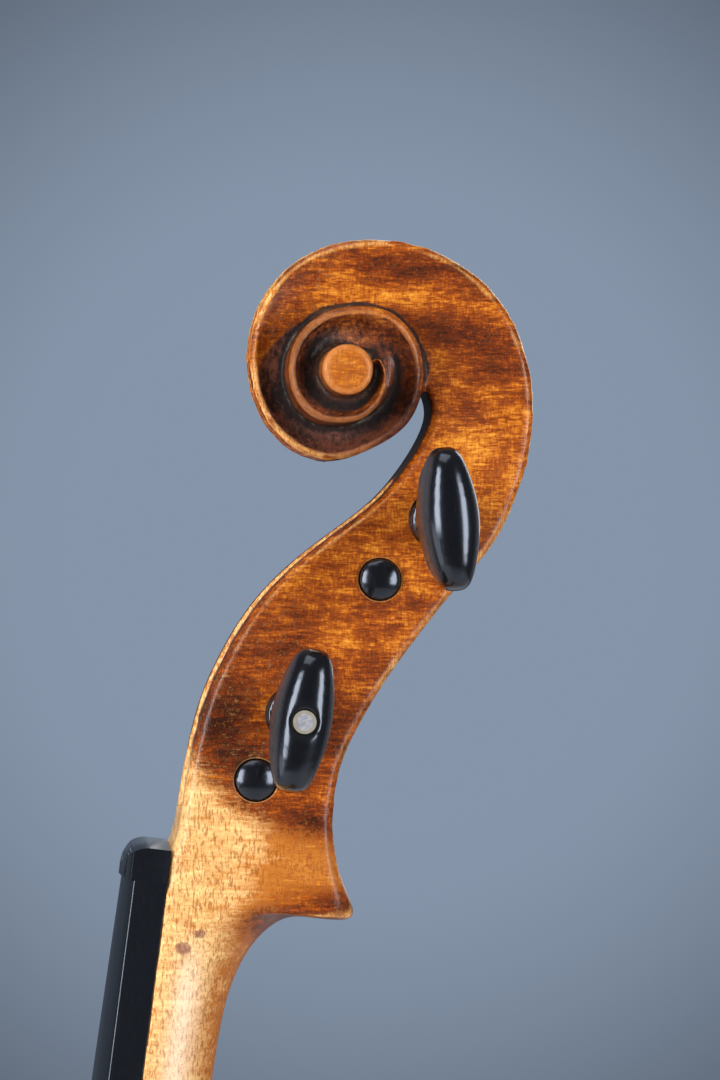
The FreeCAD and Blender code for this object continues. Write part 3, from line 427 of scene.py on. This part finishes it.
def finishModifier(piece, kind, **settings):
    activate(piece)
    modifier = piece.modifiers.new(kind.lower(), kind)
    for key, value in settings.items():
        setattr(modifier, key, value)
    bpy.ops.object.modifier_apply(modifier=modifier.name)


# A welded copy of a node's mesh, to be refined
def weldedCopy(node, name):
    piece = bpy.data.objects.new(name, nodes[node].data.copy())
    bpy.context.scene.collection.objects.link(piece)
    piece.data.materials.clear()
    activate(piece)
    bpy.ops.object.mode_set(mode="EDIT")
    bpy.ops.mesh.select_all(action="SELECT")
    bpy.ops.mesh.remove_doubles(threshold=0.00001)
    bpy.ops.object.mode_set(mode="OBJECT")
    return piece


# The same, with its edges worn round. The grid of the remesh can be turned to lie
# along the piece, so that no straight edge comes out wavy.
def softened(node, name, voxel, passes, turned=0.0):
    piece = weldedCopy(node, name)
    piece.data.transform(Matrix.Rotation(turned, 4, "X"))
    finishModifier(piece, "REMESH", mode="VOXEL", voxel_size=voxel * mm)
    piece.data.transform(Matrix.Rotation(-turned, 4, "X"))
    finishModifier(piece, "SMOOTH", factor=0.5, iterations=passes)
    activate(piece)
    bpy.ops.object.shade_smooth()
    return piece


# Points in mm, normals, and the two ends of every edge
def meshArrays(piece):
    mesh = piece.data
    points = np.empty(len(mesh.vertices) * 3)
    mesh.vertices.foreach_get("co", points)
    normals = np.empty(len(mesh.vertices) * 3)
    mesh.vertices.foreach_get("normal", normals)
    edges = np.empty(len(mesh.edges) * 2, int)
    mesh.edges.foreach_get("vertices", edges)
    return points.reshape(-1, 3) / mm, normals.reshape(-1, 3), edges.reshape(-1, 2)


def placePoints(piece, points):
    piece.data.vertices.foreach_set("co", (points * mm).ravel())
    piece.data.update()


def store(piece, name, values):
    attribute = piece.data.attributes.new(name, "FLOAT", "POINT")
    attribute.data.foreach_set("value", np.asarray(values, np.float32))


# How far each point stands out of its surroundings, in mm
def standOut(points, normals, edges, passes):
    count = len(points)
    near = np.bincount(edges.ravel(), minlength=count)[:, None]
    level = points.copy()
    for _ in range(passes):
        total = np.empty_like(level)
        for axis in range(3):
            total[:, axis] = np.bincount(edges[:, 0], level[edges[:, 1], axis], count)
            total[:, axis] += np.bincount(edges[:, 1], level[edges[:, 0], axis], count)
        level = total / near
    return ((points - level) * normals).sum(1)


# The angle between the two faces at each edge, in radians
def edgeAngles(piece):
    form = bmesh.new()
    form.from_mesh(piece.data)
    angles = np.array([edge.calc_face_angle(0.0) for edge in form.edges], np.float32)
    form.free()
    return angles


def pegAxes():
    return [np.array(joint["pos_m"]) / mm for joint in frame["joints"]]


# How far each point lies from the nearest peg's axis, in mm
def pegDistance(points):
    gaps = [np.hypot(points[:, 1] - place[1], points[:, 2] - place[2]) for place in pegAxes()]
    return np.min(gaps, axis=0)


def along(points):
    sine, cosine = math.sin(head["tilt"]), math.cos(head["tilt"])
    return points[:, 1] * sine + points[:, 2] * cosine + head["throatAlong"]


def depth(points):
    sine, cosine = math.sin(head["tilt"]), math.cos(head["tilt"])
    return points[:, 1] * cosine - points[:, 2] * sine + head["throatDepth"]


def easing(values, low, high):
    share = np.clip((values - low) / (high - low), 0, 1)
    return share * share * (3 - 2 * share)


# The carved neck and head. A patch holds its depth, its place along, its reach both
# ways and its darkness. A pair of rows is read as a curve, from the first to the second.
carvedNeck = {
    "voxel": 0.46, "soften": 8, "edgePasses": 7, "creasePasses": 12, "kept": 0.56,
    "patches": [
        (36, 94, 8, 2.6, 0.5), (26, 103.5, 9, 2.6, 0.42), (36, 81.5, 7, 2.2, 0.3),
        (42, 89, 5, 3, 0.2), (24, 88, 4, 4, 0.35), (27, 80, 4, 6, 0.4),
        (9, 99, 3.5, 2.2, 0.4), (31, 73, 3, 4, 0.2), (29, 98.5, 8, 2.4, -0.3),
        (41, 84.5, 5, 1.8, -0.25), (38, 76, 9, 3.6, -0.3), (12, 96, 4, 2, -0.2),
        (17, 99.5, 6, 2, -0.25), (33, 63, 7, 6, -0.25), (20, 55, 5, 5, -0.12),
        (43, 68, 6, 6, -0.22), (4, 27, 4.5, 5.5, 0.45), (9, 22, 5, 3.5, 0.36),
        (20.5, 13.5, 5.5, 3.4, 0.5), (15, 20, 6, 4, 0.2), (10, 41, 6, 6, 0.16),
        (13, 33, 6, 4, 0.1), (24, 46, 5, 7, -0.16), (26, 40, 4, 6, 0.1),
        (22, 30, 3, 5, 0.3), (27, -1, 6.5, 3.4, 0.3), (19, -3.5, 5, 2.4, 0.3),
        (17.6, 85, 5, 5, -0.3), (3.9, -9.8, 1.7, 1.4, 1.15), (6.3, -7.2, 1.6, 1.2, 0.95)],
    "chinPatches": [(27, -1, 8, 4.2, 1.1), (17, -5, 6, 4, 0.7), (17, -14, 3, 9, 0.35)],
    "sideTone": 0.32, "sideFacing": (0.45, 0.9),
    "honeyEdge": ((0, 5, 11, 18, 25, 32), (22.5, 16.5, 12.5, 10.5, 9.5, 8.5)), "honeyFade": 4.2,
    "neckHighlightBand": (5.4, 2.4, 0.7), "neckHighlightBelow": (4, 18),
    "ageFrom": ((-60, -14, -5, 3, 12), (7.6, 7.8, 11, 12.5, 13.5)), "ageFade": (-1, 5),
    "cheekInside": 7.4, "holeEdge": 3.2, "holeReach": 5.6, "offCheek": 20,
    "holePull": ((0, 3.34, 3.9, 5.6), (0, 3.34, 3.42, 5.6)),
    "scrollFrom": 60, "eyeWorn": (3.4, 4.8, 0.42), "innerTurns": (12.8, 14.2),
    "dishStart": (4.6, 5.6), "dishFade": 0.7, "dishFacing": (0.3, 0.7),
    "dishReach": ((-180, -60, -20, 0, 60, 100, 135, 165, 180),
                  (13.6, 13.8, 13.4, 13.1, 11.2, 10.3, 10.6, 12.4, 13.6)),
    "dishShadeAim": math.radians(215), "dishDepths": (0.5, 0.5), "dishShading": (-0.6, 0.5)}


# The cheeks are drawn up to the pegs, so that only a hairline shows round them
def closeHoles(piece):
    points = meshArrays(piece)[0]
    onCheek = np.abs(points[:, 0]) > carvedNeck["cheekInside"]
    least = 0.001  # keeps a point on the axis from dividing by zero
    for place in pegAxes():
        offset = points[:, 1:] - place[1:]
        away = np.maximum(np.hypot(offset[:, 0], offset[:, 1]), least)
        near = (away < carvedNeck["holeReach"]) & (away > carvedNeck["holeEdge"]) & onCheek
        pulled = np.interp(away, *carvedNeck["holePull"])
        scale = np.where(near, pulled / away, 1)
        points[:, 1:] = place[1:] + offset * scale[:, None]
    placePoints(piece, points)


def softPatches(back, up, patches):
    return sum(strength * np.exp(-((back - place) / reachBack) ** 2 - ((up - height) / reachUp) ** 2)
               for place, height, reachBack, reachUp, strength in patches)


def markShape(piece, points, normals, edges):
    store(piece, "ridge", standOut(points, normals, edges, carvedNeck["edgePasses"]))
    store(piece, "crease", -standOut(points, normals, edges, carvedNeck["creasePasses"]))
    onCheek = np.abs(points[:, 0]) > carvedNeck["cheekInside"]
    store(piece, "fromPeg", np.where(onCheek, pegDistance(points), carvedNeck["offCheek"]))


# Where the varnish is dark, with painted shade on faces turned from the cheeks, where the wood is bare
# or aged, and a painted highlight down the middle of the neck
def markVarnish(piece, points, normals, eyeWear):
    up, back = along(points), depth(points)
    side = easing(1 - np.abs(normals[:, 0]), *carvedNeck["sideFacing"]) * (up > 0)
    # Tone patches of the varnish, plus painted shade: faces turned away from the cheeks are made darker
    # by sideTone
    toneAndShade = softPatches(back, up, carvedNeck["patches"]) + carvedNeck["sideTone"] * side
    store(piece, "toneAndShade", toneAndShade)
    store(piece, "side", side)
    store(piece, "aged", easing(back - np.interp(up, *carvedNeck["ageFrom"]), *carvedNeck["ageFade"]))
    fade = carvedNeck["honeyFade"]
    border = np.interp(back, *carvedNeck["honeyEdge"])
    chin = softPatches(back, up, carvedNeck["chinPatches"])
    bare = np.clip(1 - easing(up - border, -fade, fade) - chin, 0, 1)
    store(piece, "bare", bare + eyeWear)
    # The painted highlight runs as a band down the middle of the neck, below the nut
    middle, width, strength = carvedNeck["neckHighlightBand"]
    band = strength * np.exp(-((back - middle) / width) ** 2)
    store(piece, "neckHighlight", band * easing(-up, *carvedNeck["neckHighlightBelow"]))


# The turns of the scroll. Gives back how far the eye is worn bare
def markScroll(piece, points, normals):
    across = points[:, 1] - head["eye"][0]
    rise = points[:, 2] - head["eye"][1]
    fromEye = np.hypot(across, rise)
    angle = np.arctan2(rise, across)
    onScroll = along(points) > carvedNeck["scrollFrom"]
    fade = carvedNeck["dishFade"]
    reach = np.interp(np.degrees(angle), *carvedNeck["dishReach"])
    terrace = easing(fromEye, *carvedNeck["dishStart"]) * (1 - easing(fromEye - reach, -fade, fade))
    # Painted shade: the hollows are darkest in one direction round the eye, down and towards the front
    least, more = carvedNeck["dishDepths"]
    shaded = least + more * easing(np.cos(angle - carvedNeck["dishShadeAim"]), *carvedNeck["dishShading"])
    flat = easing(np.abs(normals[:, 0]), *carvedNeck["dishFacing"])
    store(piece, "dish", terrace * shaded * flat * onScroll)
    store(piece, "inner", (1 - easing(fromEye, *carvedNeck["innerTurns"])) * onScroll)
    start, end, strength = carvedNeck["eyeWorn"]
    return strength * (1 - easing(fromEye, start, end)) * onScroll


def carveNeck():
    piece = softened("neck", "carved_neck", carvedNeck["voxel"], carvedNeck["soften"], head["tilt"])
    closeHoles(piece)
    points, normals, edges = meshArrays(piece)
    markShape(piece, points, normals, edges)
    eyeWear = markScroll(piece, points, normals)
    markVarnish(piece, points, normals, eyeWear)
    finishModifier(piece, "DECIMATE", ratio=carvedNeck["kept"])
    piece.data.materials.append(finishes["mapleHead"])
    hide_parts("neck")
    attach(piece, "instrument")
    print("neck carved:", len(piece.data.polygons), "faces")


carveNeck()


# Pegs: the turned and filed shapes with their edges polished round. Each head leans by
# some degrees from upright and narrows towards its ends by a share
turnedPegs = {
    "voxel": 0.3, "soften": 5, "thumbFrom": 28, "thumbBlend": 4, "polish": 40,
    "crown": 2.0, "crownFrom": 9.0, "halfThickness": 4.3, "halfHeight": 11.25, "widest": 1.07,
    "tipCrown": 0.5, "tipRadius": 3.3, "tipFade": (1, 3),
    "ridgePasses": 8, "flankFrom": (24, 27), "flankFacing": (0.72, 0.92),
    "heads": {"peg_g": (16.0, 0.36), "peg_d": (25.0, 0.36), "peg_a": (-6.0, 0.32), "peg_e": (9.5, 0.2)}}


# The end of a thumb piece is filed to a crown across its thickness, its width swells
# in the middle, and the small end of the peg is domed
def crownThumb(piece, node, lean, tapered):
    points = meshArrays(piece)[0]
    joint = next(joint for joint in frame["joints"] if joint["child"] == "tuning_" + node)
    place = np.array(joint["pos_m"]) / mm
    side = points[:, 1] - place[1]
    rise = points[:, 2] - place[2]
    outward = np.sign(points[np.abs(points[:, 0]).argmax(), 0])
    away = points[:, 0] * outward
    across = side * math.cos(lean) - rise * math.sin(lean)
    height = side * math.sin(lean) + rise * math.cos(lean)
    thumbFrom = turnedPegs["thumbFrom"]
    onThumb = easing(away, thumbFrom - turnedPegs["thumbBlend"], thumbFrom)
    swell = turnedPegs["widest"] - 1 - tapered * (height / turnedPegs["halfHeight"]) ** 2
    share = np.clip(np.abs(across) / turnedPegs["halfThickness"], 0, 1)
    nearEnd = easing(away, away.max() - turnedPegs["crownFrom"], away.max())
    filed = turnedPegs["crown"] * share ** 2 * nearEnd
    dome = np.clip(np.hypot(side, rise) / turnedPegs["tipRadius"], 0, 1) ** 2
    fadeFrom, fadeTo = turnedPegs["tipFade"]
    onTip = 1 - easing(away, away.min() + fadeFrom, away.min() + fadeTo)
    filed -= turnedPegs["tipCrown"] * dome * onTip
    across *= 1 + swell * onThumb
    points[:, 0] -= outward * filed
    points[:, 1] = place[1] + across * math.cos(lean) + height * math.sin(lean)
    points[:, 2] = place[2] - across * math.sin(lean) + height * math.cos(lean)
    placePoints(piece, points)


def polishThumb(piece):
    away = np.abs(meshArrays(piece)[0][:, 0])
    group = piece.vertex_groups.new(name="thumb")
    group.add(np.flatnonzero(away > turnedPegs["thumbFrom"]).tolist(), 1, "REPLACE")
    finishModifier(piece, "SMOOTH", factor=0.5, iterations=turnedPegs["polish"], vertex_group="thumb")


def turnPegs():
    for node, (lean, tapered) in turnedPegs["heads"].items():
        piece = softened(node, "turned_" + node, turnedPegs["voxel"], turnedPegs["soften"])
        crownThumb(piece, node, math.radians(lean), tapered)
        polishThumb(piece)
        points, normals, edges = meshArrays(piece)
        store(piece, "ridge", standOut(points, normals, edges, turnedPegs["ridgePasses"]))
        onThumb = easing(np.abs(points[:, 0]), *turnedPegs["flankFrom"])
        store(piece, "flank", onThumb * easing(np.abs(normals[:, 1]), *turnedPegs["flankFacing"]))
        piece.data.materials.append(finishes["ebonyPolished"])
        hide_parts(node)
        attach(piece, "tuning_" + node)
    print("pegs turned")


turnPegs()


# Fingerboard, nut and saddle: planed shapes, their outer arrises rounded more than
# those at the glue line. Rounding, then the depth from which it is only a share
planedEbony = {
    "pieces": {"fingerboard": (1.5, -1.5), "nut": (1.0, -1.5), "saddle": (0.5, 100)},
    "glueLineShare": 0.15, "sharpFrom": 0.7, "steps": 4, "smoothBelow": math.radians(35)}


def planeEbony():
    for node, (width, glueFrom) in planedEbony["pieces"].items():
        piece = weldedCopy(node, "planed_" + node)
        points, _, edges = meshArrays(piece)
        atGlue = depth(points)[edges].max(1) > glueFrom
        sharp = edgeAngles(piece) > planedEbony["sharpFrom"]
        weights = piece.data.attributes.new("bevel_weight_edge", "FLOAT", "EDGE")
        weights.data.foreach_set("value", np.where(atGlue, planedEbony["glueLineShare"], 1.0) * sharp)
        finishModifier(piece, "BEVEL", width=width * mm, segments=planedEbony["steps"],
                       limit_method="WEIGHT")
        activate(piece)
        bpy.ops.object.shade_smooth_by_angle(angle=planedEbony["smoothBelow"])
        piece.data.materials.append(finishes["ebonySatin"])
        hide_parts(node)
        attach(piece, "instrument")
    print("ebony planed")


planeEbony()


# Every other node keeps its shape and gets its finish, by its name or a word in it
nodeFinishes = {
    "words": {"purfling": "inlay", "_rib_": "mapleBody", "lining": "bareWillow"},
    "names": {"belly": "spruceBelly", "back": "mapleBody", "end_pin": "ebonyPolished",
              "peg_e_pearl": "pearl", "peg_e_pearl_ring": "pearlRing"},
    "others": "bareSpruce"}


def dressNodes():
    for name, node in nodes.items():
        chosen = nodeFinishes["names"].get(name, nodeFinishes["others"])
        for word, finish in nodeFinishes["words"].items():
            if word in name:
                chosen = finish
        for slot in node.material_slots:
            slot.material = finishes[chosen]
    print("nodes dressed")


dressNodes()


# Floor, plain grey-blue surroundings and soft lamps. The backdrop dims with the angle
# from its middle, in degrees, and never below a share of its brightness
studio = {
    "floorSize": 2.2, "floorGap": 0.05, "floorPattern": (0.4, 3, 0.55),
    "floorColours": (tint(196, 198, 202), tint(190, 192, 197)),
    "backdrop": tint(134, 149, 169), "backdropAim": (-0.9969, 0.0785, 0.0),
    "dimming": (4.2, 14.2, 0.85), "dimmest": 0.36, "ambient": 0.3,
    "lamps": {
        "left strip": {"place": (0.7, -0.95, 0.12), "size": (0.5, 0.8), "power": 17.0},
        "right strip": {"place": (0.75, 0.8, 0.05), "size": (0.4, 0.7), "power": 11.0},
        "overhead": {"place": (0.35, -0.3, 1.1), "size": (0.9, 0.9), "power": 6.0},
        "far side": {"place": (-1.2, 0.5, 0.4), "size": (0.9, 0.9), "power": 8.0},
        "low front": {"place": (0.3, -1.2, -0.6), "size": (0.8, 0.8), "power": 4.0}},
    "lampAim": (0.0, -0.01, -0.05)}


def addFloor():
    clearSelection()
    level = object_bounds()[0][2] - studio["floorGap"]
    bpy.ops.mesh.primitive_plane_add(size=studio["floorSize"], location=(0, 0, level))
    floor = bpy.context.active_object
    floor.name = "floor"
    finish = Finish("plain floor", {"speckle": studio["floorPattern"]})
    speckle = finish.patterns["speckle"]
    floor.data.materials.append(finish.surface(
        blend(speckle, *studio["floorColours"]), 0.7 + speckle * 0.1))


def addLamps():
    for name, lamp in studio["lamps"].items():
        data = bpy.data.lights.new(name, "AREA")
        data.shape = "RECTANGLE"
        data.size, data.size_y = lamp["size"]
        data.energy = lamp["power"]
        item = bpy.data.objects.new(name, data)
        bpy.context.scene.collection.objects.link(item)
        item.location = lamp["place"]
        aim = Vector(studio["lampAim"]) - Vector(lamp["place"])
        item.rotation_euler = aim.to_track_quat("-Z", "Y").to_euler()


# The backdrop is what the camera and reflections see, and the ambient light is plain
def addSurroundings():
    world = bpy.data.worlds.new("studio")
    world.use_nodes = True
    bpy.context.scene.world = world
    tree = world.node_tree
    tree.nodes.clear()
    way = make(tree, "ShaderNodeTexCoord", output=0)
    facing = make(tree, "ShaderNodeVectorMath", {"operation": "DOT_PRODUCT"},
                  [way, studio["backdropAim"]], 1)
    angle = facing.math("ARCCOSINE", [facing.below(1.0)]) * math.degrees(1)
    level = (1 - ramp(angle, *studio["dimming"])).above(studio["dimmest"])
    shown = make(tree, "ShaderNodeBackground", None, [studio["backdrop"], level])
    lit = make(tree, "ShaderNodeBackground", None, [(1, 1, 1, 1), studio["ambient"]])
    seen = make(tree, "ShaderNodeLightPath", output=0)
    glossy = make(tree, "ShaderNodeLightPath", output=3)
    mixed = make(tree, "ShaderNodeMixShader", None, [seen.above(glossy), lit, shown])
    make(tree, "ShaderNodeOutputWorld", None, [mixed])
    bpy.context.scene.view_settings.view_transform = "Standard"


addFloor()
addLamps()
addSurroundings()
print("studio set")


# Camera at the photograph's angle: level, from the treble side and a little forward.
# Places in metres, angles in degrees
photoView = {"aim": (0.0, -0.01043, -0.01932), "distance": 0.632, "forward": 4.5, "roll": 1.1,
             "fieldOfView": 15.9, "sensor": 36}


def addCamera():
    data = bpy.data.cameras.new("photo camera")
    data.sensor_fit = "VERTICAL"
    data.sensor_height = photoView["sensor"]
    data.lens = photoView["sensor"] / 2 / math.tan(math.radians(photoView["fieldOfView"] / 2))
    camera = bpy.data.objects.new("photo camera", data)
    bpy.context.scene.collection.objects.link(camera)
    turned = math.radians(photoView["forward"])
    way = Vector((math.cos(turned), -math.sin(turned), 0))
    camera.location = Vector(photoView["aim"]) + way * photoView["distance"]
    look = (-way).to_track_quat("-Z", "Y").to_matrix().to_4x4()
    roll = Matrix.Rotation(math.radians(photoView["roll"]), 4, "Z")
    camera.rotation_euler = (look @ roll).to_euler()
    bpy.context.scene.camera = camera
    print("camera placed")


addCamera()
